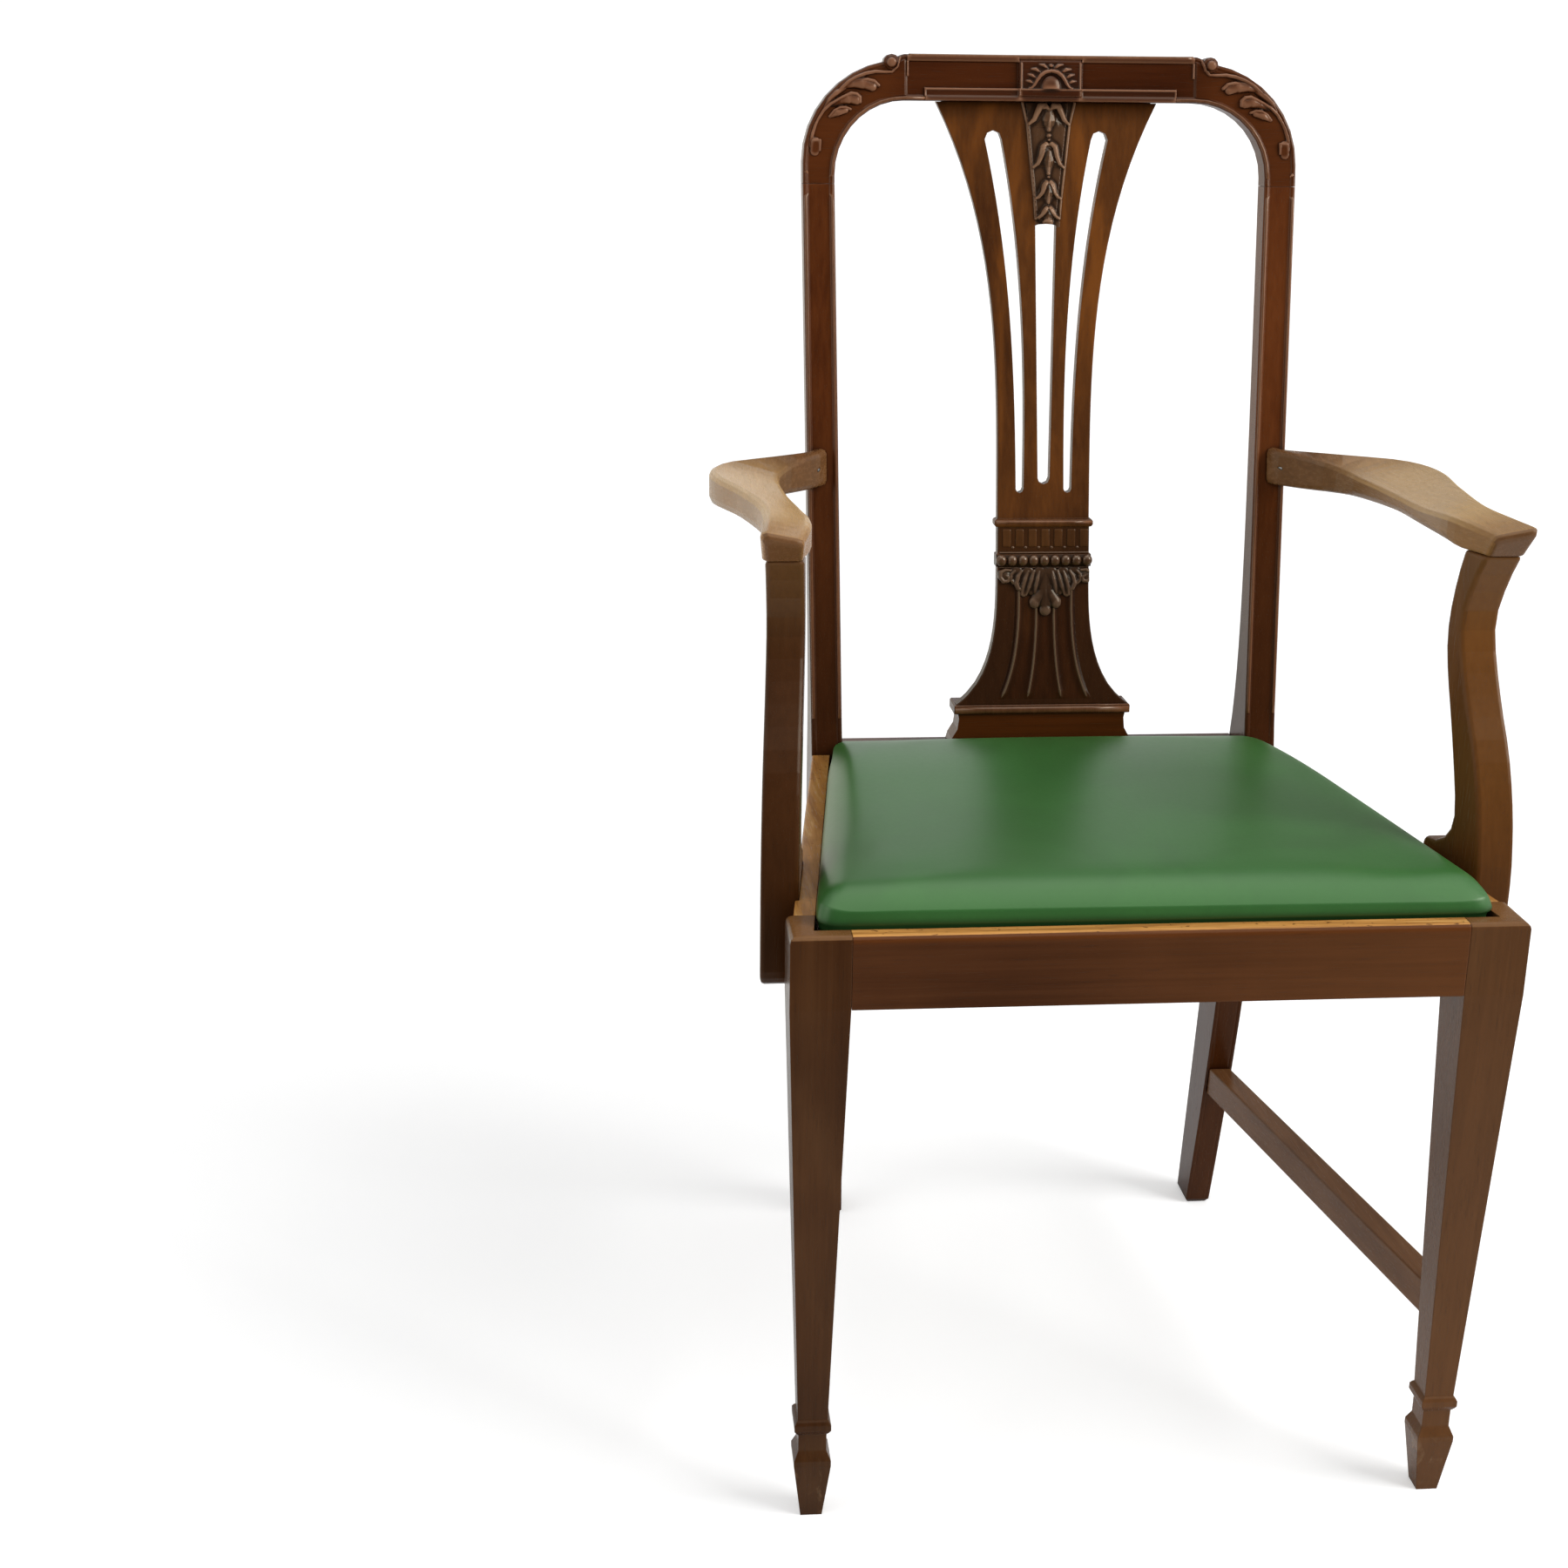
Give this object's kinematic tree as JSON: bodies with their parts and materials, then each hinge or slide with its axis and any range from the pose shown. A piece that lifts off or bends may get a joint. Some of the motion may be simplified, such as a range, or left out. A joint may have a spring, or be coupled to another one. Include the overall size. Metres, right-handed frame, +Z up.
{
  "type": "open-arm chair",
  "caption": "Mahogany open-arm dining chair with a pierced, carved splat in a rounded-shoulder back, shaped arms, square tapered legs on spade feet and a lift-out padded seat.",
  "frame": {"origin": "on the floor, under the middle of the chair's bounding box", "axes": "+Z up; the sitter faces -Y; +X is the right-hand side as seen from the front"},
  "size_m": [0.576, 0.5488, 1.016],
  "materials": {
    "mahogany": "dark polished mahogany, satin",
    "splat_wood": "golden brown polished mahogany, satin",
    "worn_mahogany": "mahogany worn pale by hands, satin",
    "beech": "plain planed beech, matt",
    "screw_steel": "plain steel, dull",
    "webbing": "woven jute",
    "hessian": "woven hessian",
    "felt": "cotton felt",
    "leathercloth": "smooth green leathercloth, semi-gloss"
  },
  "bodies": {
    "frame": {"crest_rail": "mahogany", "splat_shoe": "mahogany", "front_rail": "mahogany", "rear_rail": "mahogany", "back_post_left": "mahogany", "back_post_right": "mahogany", "front_leg_left": "mahogany", "front_leg_right": "mahogany", "side_rail_left": "mahogany", "side_rail_right": "mahogany", "side_stretcher_left": "mahogany", "side_stretcher_right": "mahogany", "splat": "splat_wood", "arm_left": "worn_mahogany", "arm_right": "worn_mahogany", "arm_support_left": "worn_mahogany", "arm_support_right": "worn_mahogany", "front_block_left": "beech", "front_block_right": "beech", "rear_block_left": "beech", "rear_block_right": "beech", "arm_dowel_left": "beech", "arm_dowel_right": "beech", "arm_screw_left": "screw_steel", "arm_screw_right": "screw_steel", "support_screw_left_1": "screw_steel", "support_screw_left_2": "screw_steel", "support_screw_right_1": "screw_steel", "support_screw_right_2": "screw_steel", "block_screw_front_left_1": "screw_steel", "block_screw_front_left_2": "screw_steel", "block_screw_front_right_1": "screw_steel", "block_screw_front_right_2": "screw_steel", "block_screw_rear_left_1": "screw_steel", "block_screw_rear_left_2": "screw_steel", "block_screw_rear_right_1": "screw_steel", "block_screw_rear_right_2": "screw_steel"},
    "drop_seat": {"seat_frame_front": "beech", "seat_frame_back": "beech", "seat_frame_left": "beech", "seat_frame_right": "beech", "web_long_1": "webbing", "web_long_2": "webbing", "web_long_3": "webbing", "web_cross_1": "webbing", "web_cross_2": "webbing", "web_cross_3": "webbing", "base_cloth": "hessian", "seat_padding": "felt", "seat_cover": "leathercloth"}
  },
  "joints": [
    {"name": "seat_lift", "type": "slide", "parent": "frame", "child": "drop_seat", "axis": [0, 0, 1], "range_m": [0, 0.15]}
  ]
}
